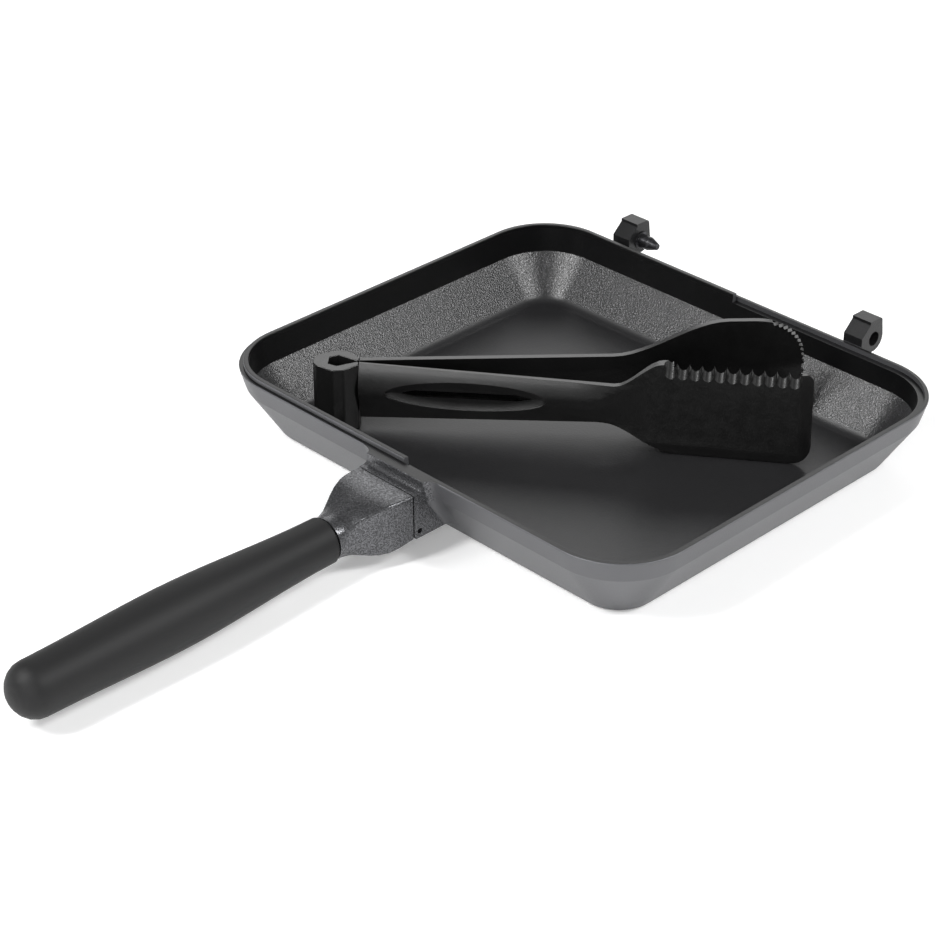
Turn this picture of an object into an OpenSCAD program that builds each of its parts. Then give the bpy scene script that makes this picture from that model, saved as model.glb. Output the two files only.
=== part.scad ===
// One half of a double sided flip pan, with its handle and the tongs that lie in it.
// The origin is the middle of the base. +Z is up, +Y runs from the handle to the hinge.
// The parting plane, where the two halves meet, is at z = pan_h, and the hinge axis lies in it.

/* [Pan] */
// Width of the rim, along the hinge
pan_w = 220; // [190:1:280]
// Length of the rim, from the handle side to the hinge side
pan_l = 188; // [160:1:240]
// Height from the base to the parting plane
pan_h = 30; // [28:0.5:40]
// Corner radius of the rim, seen from above
rim_corner_r = 30; // [26:1:45]
// Height of the upright band under the rim
band_h = 8.5; // [7:0.5:11]
// How far the band draws in towards its lower edge
band_draft = 2.4; // [1:0.1:3.5]
// How far the edge of the base lies inside the rim
base_inset = 16; // [10:0.5:19]
// Thickness of the cooking floor
floor_t = 3; // [2:0.1:5]
// Depth of the smooth upright band inside the rim
inner_band_h = 10.2; // [8:0.2:13]
// How far the inner band draws in towards its lower edge
inner_band_draft = 1.1; // [0.4:0.1:2]
// How far the foot of the sloping wall lies inside the rim
floor_inset = 19.5; // [17:0.5:24]
// Radius where the sloping wall meets the floor
floor_fillet = 6; // [2:0.5:8]

/* [Rim] */
// Width of the flat outer part of the rim
rim_flat = 1.9; // [1.4:0.1:3]
// Thickness of the sealing tongue, and of the step that takes the other half's tongue
tongue_t = 2.1; // [1.5:0.1:3]
// Height of the sealing tongue above the parting plane
tongue_h = 1.7; // [1:0.1:3]
// Clearance all round the other half's tongue
tongue_clear = 0.2; // [0.1:0.05:0.4]

/* [Hinge] */
// Distance of the hinge axis behind the rim
hinge_back = 9; // [8.6:0.1:12]
// Distance from the centre line to the outer face of the eye lug
eye_face_x = 61.2; // [50:0.2:70]
// Width of each lug, along the hinge
lug_w = 9; // [7:0.5:12]
// Diameter of the hole in the eye lug
eye_bore_d = 6; // [5:0.1:7]
// Running clearance on the diameter between the pin and the eye
hinge_clear = 0.16; // [0.04:0.02:0.2]
// Length of the pin that enters the eye, its cone included
pin_reach = 9.4; // [8.6:0.2:12]
// Length of the cone at the end of the pin
pin_cone = 4.6; // [2:0.2:5]
// Diameter of the flat end of the cone
pin_nose_d = 2.6; // [2:0.2:4]
// Thickness of the collar at the root of the pin
pin_collar_t = 0.5; // [0.4:0.1:1.5]
// Diameter of the collar at the root of the pin
pin_collar_d = 7.8; // [7.2:0.2:9.4]
// Side clearance between the collar and the other half's eye
lug_clear = 0.3; // [0.1:0.05:0.6]

/* [Handle bracket] */
// Width of the boss on the pan and of the bracket where they meet
boss_w = 29; // [24:1:36]
// How far the boss stands out from the rim
boss_len = 7; // [6:0.5:12]
// Depth of the bracket's top below the parting plane
boss_drop = 4; // [2:0.5:6]
// Height of the underside of the boss above the base
boss_floor = 7.3; // [6:0.1:9]
// Width of the hollow rounding where the boss meets the wall, along the rim
boss_fillet_w = 5; // [2:0.5:7]
// Depth of that rounding, outwards from the wall
boss_fillet_l = 3.1; // [2:0.1:3.2]
// Gap at the joint line between the boss and the bracket
joint_gap = 0.3; // [0.1:0.05:0.35]
// Length of the bracket, from the joint line to the grip
bracket_len = 30; // [26:1:40]
// Height of the handle's centre line above the base
handle_z = 14.5; // [14:0.25:16]
// Radius of the round neck, where the grip begins
neck_r = 8; // [7.2:0.1:9]
// Width of the tenon that enters the boss
tenon_w = 18; // [14:1:20]
// Height of the tenon
tenon_h = 11.5; // [10:0.5:12]
// Length of the tenon
tenon_len = 7.4; // [6:0.2:7.6]
// Clearance round the tenon
tenon_clear = 0.1; // [0.05:0.05:0.3]
// Diameter of the cross pin through the boss and the tenon
cross_pin_d = 2.2; // [1.8:0.1:2.6]

/* [Grip] */
// Length of the grip
grip_len = 136; // [110:1:170]
// Radius of the grip at its front end
grip_front_r = 8.9; // [8.2:0.1:10]
// Greatest radius of the grip
grip_belly_r = 11.6; // [10.5:0.1:14]
// Radius of the grip where its rounded end begins
grip_rear_r = 10.2; // [9:0.1:11]
// Diameter of the tang inside the grip
tang_d = 8; // [6:0.5:9]
// Length of the tang inside the grip
tang_len = 92; // [70:1:105]
// Diameter of the screw that holds the grip on the tang
grip_screw_d = 3.5; // [3:0.5:4]
// Distance of that screw behind the front of the grip
grip_screw_at = 22; // [14:1:40]

/* [Tongs] */
// Place of the loop's centre across the pan
loop_x = -73.5; // [-76:0.5:-60]
// Place of the loop's centre along the pan
loop_y = -61; // [-63:0.5:-45]
// Direction in which the tongs lie, seen from above, in degrees
tongs_turn = 41.2; // [38:0.1:44]
// Angle of each arm from the middle line, in degrees
arm_spread = 5.5; // [4.5:0.1:6]
// Width of the loop
loop_w = 16.6; // [14:0.2:20]
// Distance from the loop's centre to its back
loop_back = 7.6; // [7:0.2:10]
// Distance from the loop's centre to where the arms begin
root_reach = 10.4; // [9:0.2:14]
// Height of the loop, and of the top edge of the arms
loop_h = 28; // [22:0.5:32]
// Gap between the tongs and the floor that they lie on
rest_gap = 0.3; // [0.2:0.05:0.3]
// Clearance between each arm's root and the loop
arm_gap = 0.35; // [0.3:0.05:0.6]
// Gap between the two arms at their roots
root_gap = 1.2; // [0.8:0.1:2]
// Thickness of each arm
arm_t = 2.4; // [2:0.1:3]
// Outward crown of each arm over its full height
arm_crown = 1.9; // [1:0.1:2.6]
// Height of the lower edge of the arms at the loop, above the tongs' lowest point
root_lift = 5; // [2:0.2:8]
// Height of the lower edge of the arms where the blades begin
waist_lift = 11.8; // [8:0.2:14]
// Length of the flat arm, from the loop to its tip
flat_len = 174.5; // [164:0.5:176]
// Height of the flat blade
flat_h = 39; // [34:0.5:41]
// Length of the straight toothed stretch of the flat blade
flat_edge_len = 56.5; // [40:0.5:60]
// Radius of the lower corner of the flat blade
flat_corner_r = 8; // [3:0.5:12]
// Width of the bevel round the flat blade's lower edge and end
flat_bevel_w = 5.4; // [3:0.2:7]
// Number of teeth on the edge of the flat blade
flat_teeth = 11; // [6:1:14]
// Depth of the hollows between the teeth
tooth_depth = 2.8; // [1.5:0.1:3.4]
// Length of the round arm, from the loop to its tip
round_len = 172.5; // [162:0.5:175]
// Height of the round blade
round_h = 44; // [36:0.5:45]
// Length of the rounded end of the round blade
round_end_len = 22; // [20:0.5:30]
// Number of notches round the end of the round blade
round_notches = 23; // [9:2:27]
// Depth of those notches
notch_depth = 1.2; // [0.4:0.1:1.4]
// Thickness of the flat blade
blade_t = 2.2; // [1.8:0.1:2.4]
// Length of the oval finger recess in each arm
recess_len = 63; // [40:1:66]
// Height of the recess
recess_h = 12; // [8:0.5:13]
// Depth of the recess, below the crown of the arm
recess_depth = 1.3; // [0.6:0.1:1.5]

/* [Hidden] */
$fn = 96;
cut = 1;                                    // how far a cutting shape runs past a surface
sink = 0.4;                                 // how far one shape of a piece runs into the next
bore_fit = 0.03;                            // clearance round a screw or pin in its own hole
rim_t = rim_flat + tongue_t;                // full thickness of the wall at the rim
boss_front = -pan_l / 2 - boss_len;         // plane of the joint line
boss_top = pan_h - boss_drop;
grip_front = boss_front - joint_gap - bracket_len;
hinge_y = pan_l / 2 + hinge_back;
pin_d = eye_bore_d - hinge_clear;
pin_lug_face = eye_face_x + pin_collar_t + lug_clear;
pin_seat_d = pin_d - 1;                     // shank pressed into the pin lug
pin_seat_depth = lug_w - 2;
lug_r = 5.6;                                // radius of a lug's back, inside the other rim's swing
lug_top = 8.1;                              // height of a lug above the hinge axis
lug_edge_r = 1.6;                           // rounding between its top and its back
lug_foot = 7.2;                             // depth of a lug below the hinge axis
lug_nose = 7.6;                             // distance of its upright front from the axis
lug_nose_h = 2.4;                           // height of that front above the axis
lug_step = 2.7;                             // distance of the step in its slope from the axis
lug_step_h = 1.2;                           // height of that step
tenon_z = boss_floor + 1.5;                 // underside of the tenon
cross_pin_z = tenon_z + 1.4;
cross_pin_y = boss_front + 2.6;
cross_pin_sunk = 1.2;                       // depth of the cross pin's ends in their hole
tongs_z = floor_t + rest_gap;               // lowest level of the tongs
ridge_r = 16;                               // radius that rounds the crown of an arm
ridge_at = (loop_h + root_lift) / 2;        // height of the crown at the loop
ridge_rise = 2.2;                           // slope of the crown line, in degrees
waist_at = 92;                              // distance from the loop to where the blades begin
eye_wall = 4;                               // thickness of the loop's wall round its eye
recess_at = 42;                             // distance from the loop to the middle of the recess
tooth_end = 5.1;                            // plain stretch of the edge beyond the last tooth
over = 60;                                  // size of a cutting shape that clears the tongs

// ---------- helpers ----------

// Corner p of a path, between points a and b, rounded to radius r in n steps.
function arc_corner(a, p, b, r, n = 6) =
    let (u = (a - p) / norm(a - p), v = (b - p) / norm(b - p),
         half = acos(u * v) / 2, reach = r / tan(half),
         mid = (u + v) / norm(u + v), c = p + mid * (r / sin(half)),
         s = p + u * reach - c, turn = (180 - 2 * half) * sign(u[1] * v[0] - u[0] * v[1]))
    [for (i = [0 : n]) let (w = turn * i / n)
        c + [s[0] * cos(w) - s[1] * sin(w), s[0] * sin(w) + s[1] * cos(w)]];

// Closed outline from points [x, y, radius]; a radius of 0 leaves the corner sharp.
function rounded(pts, n = 6) =
    [for (i = [0 : len(pts) - 1])
        let (k = len(pts), a = pts[(i + k - 1) % k], p = pts[i], b = pts[(i + 1) % k])
        each p[2] == 0 ? [[p[0], p[1]]]
            : arc_corner([a[0], a[1]], [p[0], p[1]], [b[0], b[1]], p[2], n)];

// Smooth rise from 0 to 1 as t goes from 0 to 1.
function ease(t) = let (c = min(max(t, 0), 1)) c * c * (3 - 2 * c);

// Carries a profile round a rounded rectangle. The profile's x is the distance outwards
// from the centres of the corners.
module around(w, l, r) {
    for (k = [0 : 3]) {
        side = (k % 2 == 0) ? [w, l] : [l, w];
        rotate([0, 0, 90 * k]) translate([side[0] / 2 - r, side[1] / 2 - r, 0]) {
            rotate_extrude(angle = 90) children();
            rotate([90, 0, 0]) linear_extrude(side[1] - 2 * r) children();
        }
    }
}

// Plate inside the centres of the corners, which the carried profile closes.
module core_plate(z0, z1)
    translate([rim_corner_r - pan_w / 2, rim_corner_r - pan_l / 2, z0])
        cube([pan_w - 2 * rim_corner_r, pan_l - 2 * rim_corner_r, z1 - z0]);

// Cylinder along +X from the given point.
module rod_x(d, length) rotate([0, 90, 0]) cylinder(d = d, h = length);

// ---------- pan ----------

outer_wall = rounded([
    [0, 0, 0], [rim_corner_r - base_inset, 0, 2.6],
    [rim_corner_r - band_draft, pan_h - band_h, 2.4],
    [rim_corner_r, pan_h, 0.5], [0, pan_h, 0]]);

inner_wall = rounded([
    [0, floor_t, 0], [rim_corner_r - floor_inset, floor_t, floor_fillet],
    [rim_corner_r - rim_t - inner_band_draft, pan_h - inner_band_h, 0.8],
    [rim_corner_r - rim_t, pan_h + cut, 0], [0, pan_h + cut, 0]]);

module outer_form() {
    around(pan_w, pan_l, rim_corner_r) polygon(outer_wall);
    core_plate(0, pan_h);
}

module cavity() {
    around(pan_w, pan_l, rim_corner_r) polygon(inner_wall);
    core_plate(floor_t, pan_h + cut);
}

// Half of the space, on the side of x that has the given sign.
module half_space(side, z0, z1)
    translate([side > 0 ? 0 : -pan_w, -pan_l, z0]) cube([pan_w, 2 * pan_l, z1 - z0]);

// The tongue stands on the half of the rim where x is below zero.
module tongue()
    intersection() {
        around(pan_w, pan_l, rim_corner_r)
            polygon(rounded([
                [rim_corner_r - rim_t, pan_h - sink, 0],
                [rim_corner_r - rim_flat, pan_h - sink, 0],
                [rim_corner_r - rim_flat, pan_h + tongue_h, 0.4],
                [rim_corner_r - rim_t, pan_h + tongue_h, 0.4]], 3));
        translate([-tongue_clear / 2, 0, 0]) half_space(-1, 0, pan_h + tongue_h + cut);
    }

// The step takes the other half's tongue, where x is above zero.
module step()
    intersection() {
        around(pan_w, pan_l, rim_corner_r)
            translate([rim_corner_r - rim_t - inner_band_draft, pan_h - tongue_h - tongue_clear])
                square([tongue_t + inner_band_draft + tongue_clear, tongue_h + tongue_clear + cut]);
        translate([-tongue_clear / 2, 0, 0])
            half_space(1, pan_h - tongue_h - 2 * tongue_clear, pan_h + 2 * cut);
    }

// Side view of the boss, with y forwards as the first axis: a ledge under the rim, a hollow
// curve down to the level of the bracket, and a rounded lower edge.
module boss_side()
    polygon(rounded([
        [boss_front, boss_floor, 1.2], [boss_front, boss_top, 0.3],
        [-pan_l / 2 - 3.3, boss_top, 1.6], [-pan_l / 2 - 3.0, pan_h, 0.4],
        [-pan_l / 2 + rim_t, pan_h, 0], [-pan_l / 2 + base_inset, boss_floor, 0]], 4));

// Hollow rounding where the sides of the boss meet the wall. One strip follows the band and one
// the slope under it, and they meet in a mitre at the foot of the band.
module boss_fillets() {
    hollow = concat([[-sink, sink], [boss_fillet_w, sink]],
        [for (w = [0 : 15 : 90])
            [boss_fillet_w * (1 - sin(w)), boss_fillet_l * (cos(w) - 1)]],
        [[-sink, -boss_fillet_l]]);
    band_turn = atan2(band_draft, band_h);
    slope_turn = atan2(base_inset - band_draft, pan_h - band_h);
    intersection() {
        for (side = [0, 1], upper = [0, 1])
            mirror([side, 0, 0])
                translate([boss_w / 2, band_draft - pan_l / 2, pan_h - band_h])
                    intersection() {
                        rotate([upper == 1 ? band_turn : slope_turn, 0, 0])
                            linear_extrude(4 * pan_h, center = true) polygon(hollow);
                        rotate([(band_turn + slope_turn) / 2, 0, 0])
                            translate([-boss_w, -boss_w, upper == 1 ? 0 : -pan_h])
                                cube([2 * boss_w, 2 * boss_w, pan_h]);
                    }
        translate([-boss_w, -pan_l, boss_floor]) cube([2 * boss_w, pan_l, pan_h - boss_floor]);
    }
}

module boss() {
    translate([-boss_w / 2, 0, 0]) rotate([90, 0, 90]) linear_extrude(boss_w) boss_side();
    boss_fillets();
}

module socket() {
    translate([-tenon_w / 2 - tenon_clear, boss_front - cut, tenon_z - tenon_clear])
        cube([tenon_w + 2 * tenon_clear, tenon_len + tenon_clear + cut,
              tenon_h + 2 * tenon_clear]);
    translate([-boss_w, cross_pin_y, cross_pin_z])
        rod_x(cross_pin_d + 2 * bore_fit, 2 * boss_w);
}

// Side view of a lug round the hinge axis: an upright front, a slope, a step, a flat top and
// a round back that stays inside the swing of the other half's rim.
module lug_side()
    translate([hinge_y, pan_h])
        polygon(concat(
            [[-hinge_back - cut, -lug_foot], [-hinge_back - cut, -cut], [-lug_nose, -cut],
             [-lug_nose, lug_nose_h], [-lug_step, lug_top - lug_step_h], [-lug_step, lug_top]],
            arc_corner([0, lug_top], [lug_r - cut, lug_top], [lug_r, 0], lug_edge_r),
            [for (w = [0 : 12 : 96]) [lug_r * cos(w), -lug_r * sin(w) - bore_fit]],
            [[-lug_step - cut, -lug_foot]]));

module lug(x0)
    translate([x0, 0, 0]) rotate([90, 0, 90]) linear_extrude(lug_w) lug_side();

module pan_body() {
    color([0.42, 0.42, 0.44]) {
        difference() {
            union() {
                outer_form();
                boss();
                lug(eye_face_x - lug_w);
                lug(-pin_lug_face - lug_w);
            }
            cavity();
            step();
            socket();
            translate([eye_face_x - lug_w - cut, hinge_y, pan_h]) rod_x(eye_bore_d, lug_w + 2 * cut);
            translate([-pin_lug_face - pin_seat_depth, hinge_y, pan_h])
                rod_x(pin_seat_d, pin_seat_depth + cut);
        }
        tongue();
    }
}

module hinge_pin()
    color([0.07, 0.07, 0.08])
        translate([-pin_lug_face, hinge_y, pan_h]) {
            translate([-pin_seat_depth, 0, 0]) rod_x(pin_seat_d - 2 * bore_fit, pin_seat_depth);
            rod_x(pin_collar_d, pin_collar_t);
            rod_x(pin_d, pin_reach - pin_cone);
            translate([pin_reach - pin_cone, 0, 0])
                rotate([0, 90, 0]) cylinder(d1 = pin_d, d2 = pin_nose_d, h = pin_cone);
        }

// ---------- handle ----------

// Cross-section of the bracket at a distance behind the joint line: half width, underside,
// top and corner radius.
function bracket_section(i) = [
    [0, boss_w / 2, boss_floor, boss_top, 1],
    [0.23, boss_w / 2 - 0.3, boss_floor - 1, boss_top, 1.3],
    [0.47, boss_w / 2 - 1.8, handle_z - neck_r - 0.6, boss_top - 0.7, 2.8],
    [0.7, neck_r + 2, handle_z - neck_r, handle_z + neck_r + 1, 5.4],
    [1, neck_r, handle_z - neck_r, handle_z + neck_r, neck_r - 0.05]][i];

module bracket_slice(i) {
    s = bracket_section(i);
    translate([0, boss_front - joint_gap - s[0] * bracket_len, 0])
        for (x = [-s[1] + s[4], s[1] - s[4]], z = [s[2] + s[4], s[3] - s[4]])
            translate([x, 0, z]) rotate([90, 0, 0]) cylinder(r = s[4], h = 0.02, $fn = 32);
}

module handle_bracket()
    color([0.47, 0.47, 0.49])
        difference() {
            union() {
                for (i = [0 : 3])
                    hull() {
                        bracket_slice(i);
                        bracket_slice(i + 1);
                    }
                translate([-tenon_w / 2, boss_front - joint_gap - sink, tenon_z])
                    cube([tenon_w, tenon_len + joint_gap + sink, tenon_h]);
                translate([0, grip_front + sink, handle_z]) rotate([90, 0, 0])
                    cylinder(d = tang_d, h = tang_len + sink);
            }
            translate([-tenon_w, cross_pin_y, cross_pin_z])
                rod_x(cross_pin_d + 2 * bore_fit, 2 * tenon_w);
            translate([0, grip_front - grip_screw_at, handle_z - tang_d])
                cylinder(d = grip_screw_d + 2 * bore_fit, h = tang_d + tang_d / 3);
        }

module cross_pin()
    color([0.15, 0.15, 0.16])
        translate([cross_pin_sunk - boss_w / 2, cross_pin_y, cross_pin_z])
            rod_x(cross_pin_d, boss_w - 2 * cross_pin_sunk);

// Radius of the grip at a share t of its length before its rounded end.
function grip_r(t) = t < 0.55
    ? grip_front_r + (grip_belly_r - grip_front_r) * ease(t / 0.55)
    : grip_belly_r + (grip_rear_r - grip_belly_r) * ease((t - 0.55) / 0.45) * 0.9;

grip_end = grip_rear_r * 0.92;              // length of the rounded end
grip_body = grip_len - grip_end;
grip_last_r = grip_r(1);
grip_outline = concat(
    [[0, 0], [grip_front_r - 0.8, 0], [grip_r(0), 0.8]],
    [for (i = [1 : 18]) [grip_r(i / 18), grip_body * i / 18]],
    [for (w = [15 : 15 : 75]) [grip_last_r * cos(w), grip_body + grip_end * sin(w)]],
    [[0, grip_len]]);

module handle_grip()
    color([0.16, 0.16, 0.17])
        difference() {
            translate([0, grip_front, handle_z]) rotate([90, 0, 0])
                rotate_extrude() polygon(grip_outline);
            translate([0, grip_front + cut, handle_z]) rotate([90, 0, 0])
                cylinder(d = tang_d + 2 * bore_fit, h = tang_len + cut + 0.3);
            translate([0, grip_front - grip_screw_at, handle_z - 2 * grip_belly_r])
                cylinder(d = grip_screw_d + 2 * bore_fit, h = 2 * grip_belly_r);
            translate([0, grip_front - grip_screw_at, handle_z - 2 * grip_belly_r])
                cylinder(d = grip_screw_d * 1.9, h = 2 * grip_belly_r - tang_d / 2 - 2);
        }

module grip_screw()
    color([0.6, 0.6, 0.62])
        translate([0, grip_front - grip_screw_at, handle_z]) {
            translate([0, 0, -tang_d / 2 - 2]) cylinder(d = grip_screw_d, h = 2 + tang_d * 0.8);
            translate([0, 0, -tang_d / 2 - 2 - 1.8])
                difference() {
                    cylinder(d = grip_screw_d * 1.8, h = 1.8);
                    translate([0, 0, -cut]) cylinder(d = grip_screw_d * 0.8, h = cut + 1, $fn = 6);
                }
        }

// ---------- tongs ----------

module tongs_place()
    translate([loop_x, loop_y, tongs_z]) rotate([0, 0, tongs_turn]) children();

// An arm is drawn along +X from its root, with its inner edge on the X axis, its outside
// towards +Y and its height from the tongs' lowest level.
module arm_place(side)
    tongs_place() mirror([0, side < 0 ? 1 : 0, 0])
        translate([root_reach, root_gap / 2, 0]) rotate([0, 0, arm_spread]) children();

function mirrored(pts) = concat(pts, [for (i = [len(pts) - 1 : -1 : 0])
    [pts[i][0], -pts[i][1], pts[i][2]]]);

// Flattened hexagon, open between the arms, with a hexagonal eye.
module tongs_loop()
    color([0.13, 0.13, 0.14]) tongs_place() linear_extrude(loop_h) difference() {
        polygon(rounded(mirrored([
            [-loop_back, 2.2, 1.5], [1.8 - loop_back, loop_w / 4 + 0.6, 2],
            [0.8, loop_w / 2, 2.5], [5, loop_w / 2 - 0.6, 2.5],
            [root_reach - arm_gap, root_gap / 2 + arm_t, 0.3]])));
        polygon(rounded(mirrored([
            [eye_wall + 2 - loop_back, 2.6, 0.5], [2, loop_w / 2 - eye_wall, 1],
            [5.8, 2.2, 1], [9, root_gap / 2, 0], [root_reach + cut, root_gap / 2, 0]]), 4));
    }

// Height of an arm's lower edge, up to where the blade begins.
function lower_edge(x) = root_lift + (waist_lift - root_lift) * min(x / waist_at, 1);

// One side of a blade as it widens, from x0 to x1 in n steps and from height h0 to h1.
function widening(x0, x1, h0, h1, n) =
    [for (i = [0 : n]) [x0 + (x1 - x0) * i / n, h0 + (h1 - h0) * ease(i / n)]];

function reversed(pts) = [for (i = [len(pts) - 1 : -1 : 0]) pts[i]];

flat_edge = flat_len - flat_edge_len;       // where the toothed edge begins
module flat_outline()
    polygon(concat(
        [[0, loop_h]],
        widening(flat_edge - 19, flat_edge, loop_h, flat_h, 8),
        arc_corner([flat_edge, flat_h], [flat_len - 0.5, flat_h], [flat_len, 0], 3),
        arc_corner([flat_len, flat_h], [flat_len, 0], [flat_edge, 0], flat_corner_r),
        reversed(widening(waist_at + 3, flat_edge + 5, waist_lift, 0, 10)),
        [[waist_at, waist_lift], [0, root_lift]]));

// The end of the round blade is a fuller curve than an ellipse.
round_mid = round_len - round_end_len;      // where the rounded end begins
function fuller(c) = sign(c) * pow(abs(c), 0.83);
function round_end(w, depth) = [round_mid + (round_end_len - depth) * fuller(cos(w)),
    round_h / 2 + (round_h / 2 - depth) * fuller(sin(w))];

module round_outline() {
    notched = 72;                           // the notches run this far each way, in degrees
    notches = [for (i = [0 : round_notches * 4])
        round_end(notched * (1 - i / round_notches / 2), notch_depth * abs(sin(45 * i)))];
    polygon(concat(
        [[0, loop_h]],
        widening(waist_at + 6, round_mid - 8.5, loop_h, round_h, 12),
        [for (w = [88 : -4 : notched + 1]) round_end(w, 0)],
        notches,
        [for (w = [-notched - 4 : -4 : -88]) round_end(w, 0)],
        reversed(widening(waist_at + 7, round_mid - 5, waist_lift, 0, 12)),
        [[waist_at, waist_lift], [0, root_lift]]));
}

// Crowned channel along the whole of an arm, much higher than the arm itself.
module arm_channel(length) {
    reach = 30;
    fall = arm_crown * reach / (loop_h - ridge_at);
    translate([0, 0, ridge_at]) rotate([0, -ridge_rise, 0])
        rotate([90, 0, 90]) linear_extrude(length)
            polygon(rounded([
                [arm_t + arm_crown - fall, reach, 0], [arm_t + arm_crown, 0, ridge_r],
                [arm_t + arm_crown - fall, -reach, 0], [arm_crown - fall, -reach, 0],
                [arm_crown, 0, ridge_r - arm_t], [arm_crown - fall, reach, 0]], 8));
}

// Carries a side outline through an arm's thickness.
module through_arm() translate([0, 20, 0]) rotate([90, 0, 0]) linear_extrude(40) children();

// Oval finger recess in the crown of an arm.
module finger_recess()
    translate([0, arm_t + arm_crown - recess_depth, ridge_at])
        rotate([0, -ridge_rise, 0]) translate([recess_at, 0, 0])
            rotate([-90, 0, 0]) linear_extrude(over / 10)
                scale([recess_len / recess_h, 1]) circle(d = recess_h);

flat_face_y = arm_t + 0.4;                  // outer face of the flat blade
flat_thinning = 3.6;                        // slope of the arm down to that face, in degrees

// Hollows between the teeth, each cut by a slanted cylinder.
module tooth_flutes() {
    slant = 35;
    pitch = (flat_edge_len - tooth_end) / flat_teeth;
    cusp = tooth_depth * sin(slant);
    flute_r = (pow(pitch / 2, 2) + pow(cusp, 2)) / (2 * cusp);
    translate([flat_edge, flat_face_y - blade_t + flute_r * cos(slant),
               flat_h - tooth_depth + flute_r * sin(slant)])
        rotate([slant, 0, 0]) {
            for (i = [0 : flat_teeth - 1])
                translate([pitch * (i + 0.5), 0, 0]) cylinder(r = flute_r, h = 24, center = true);
            translate([0, 0, -12]) cube([pitch * flat_teeth, 12, 24]);
        }
}

// Bevels that thin the flat blade towards its lower edge and its end.
module flat_bevels() {
    bevel_turn = 13;
    translate([flat_edge - over / 2, flat_face_y, flat_bevel_w]) rotate([bevel_turn, 0, 0])
        translate([0, 0, -over]) cube([2 * over, over, over]);
    translate([flat_len - flat_bevel_w, flat_face_y, -cut]) rotate([0, 0, -bevel_turn])
        cube(over);
}

module tongs_flat_arm()
    color([0.13, 0.13, 0.14]) arm_place(-1) difference() {
        intersection() {
            through_arm() flat_outline();
            union() {
                intersection() {
                    arm_channel(flat_edge + 4);
                    translate([waist_at - 4, flat_face_y + arm_crown - 0.4, -cut])
                        rotate([0, 0, -flat_thinning]) translate([-flat_len, -over, 0])
                            cube([2 * flat_len, over, over]);
                }
                translate([waist_at + 2, flat_face_y - blade_t, -cut])
                    cube([flat_len, blade_t, over]);
            }
        }
        finger_recess();
        tooth_flutes();
        flat_bevels();
    }

module tongs_round_arm()
    color([0.13, 0.13, 0.14]) arm_place(1) difference() {
        intersection() {
            through_arm() round_outline();
            arm_channel(round_len + 4);
        }
        finger_recess();
    }

pan_body();
hinge_pin();
handle_bracket();
cross_pin();
handle_grip();
grip_screw();
tongs_loop();
tongs_flat_arm();
tongs_round_arm();
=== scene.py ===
"""Dresses one half of a double sided flip pan, with its handle and the tongs that lie in it."""

import math

import bpy
from bpy.props import FloatProperty, FloatVectorProperty, PointerProperty
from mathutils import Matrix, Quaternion, Vector


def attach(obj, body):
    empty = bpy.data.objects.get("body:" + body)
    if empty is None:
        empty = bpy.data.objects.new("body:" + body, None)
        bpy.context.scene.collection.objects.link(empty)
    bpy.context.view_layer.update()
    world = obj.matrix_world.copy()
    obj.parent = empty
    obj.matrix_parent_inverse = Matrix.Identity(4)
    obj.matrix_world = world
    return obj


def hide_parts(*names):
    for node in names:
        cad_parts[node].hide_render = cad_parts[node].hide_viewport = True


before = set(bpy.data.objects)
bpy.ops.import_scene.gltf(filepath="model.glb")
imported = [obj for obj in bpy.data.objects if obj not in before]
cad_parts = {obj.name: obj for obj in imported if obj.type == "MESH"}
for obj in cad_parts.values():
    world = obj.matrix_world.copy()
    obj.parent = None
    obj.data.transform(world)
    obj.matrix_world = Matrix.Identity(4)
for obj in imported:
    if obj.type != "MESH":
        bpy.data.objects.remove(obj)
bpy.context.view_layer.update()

bl_info = {
    "name": "Flip Pan",
    "version": (1, 0, 0),
    "blender": (4, 5, 0),
    "location": "View3D > Sidebar > Flip Pan",
    "description": "Finishes the half pan, its handle and its tongs, and sets the stage",
    "category": "Object",
}

MM = 0.001

# Sizes that the pan's solid is built from.
RIM_Z = 30 * MM  # height of the plane where the two halves meet
RIM_HALF = Vector((110 * MM, 94 * MM))  # half the outside length of the rim along X and Y
RIM_CORNER = 30 * MM
RIM_WALL = 4.0 * MM  # width of the rim seen from above
BAND_FOOT = (5.1 * MM, 19.8 * MM)  # inset and height where the upright inner band ends
FLOOR_FOOT = (19.5 * MM, 3 * MM)  # inset and height where the sloping wall meets the floor
BOSS_HALF = 14.5 * MM  # half the width of the boss that carries the handle

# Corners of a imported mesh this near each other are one, and faces that turn less than this are one.
SAME_POINT = 0.002 * MM
FLAT_ANGLE = math.radians(0.3)


# ---------------------------------------------------------------- shader tools


class Wire:
    """A node's output that can be used in sums."""

    def __init__(self, paint, socket):
        self.paint = paint
        self.socket = socket

    def math(self, operation, *values):
        return self.paint.node("ShaderNodeMath", {"operation": operation}, dict(enumerate(values)))

    def __add__(self, other):
        return self.math("ADD", self, other)

    def __rsub__(self, other):
        return self.math("SUBTRACT", other, self)

    def __mul__(self, other):
        return self.math("MULTIPLY", self, other)

    __radd__ = __add__

    def step(self, low, high):
        """Rises smoothly from 0 at low to 1 at high."""
        return self.paint.node(
            "ShaderNodeMapRange",
            {"interpolation_type": "SMOOTHSTEP"},
            {"Value": self, "From Min": low, "From Max": high},
        )


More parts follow.
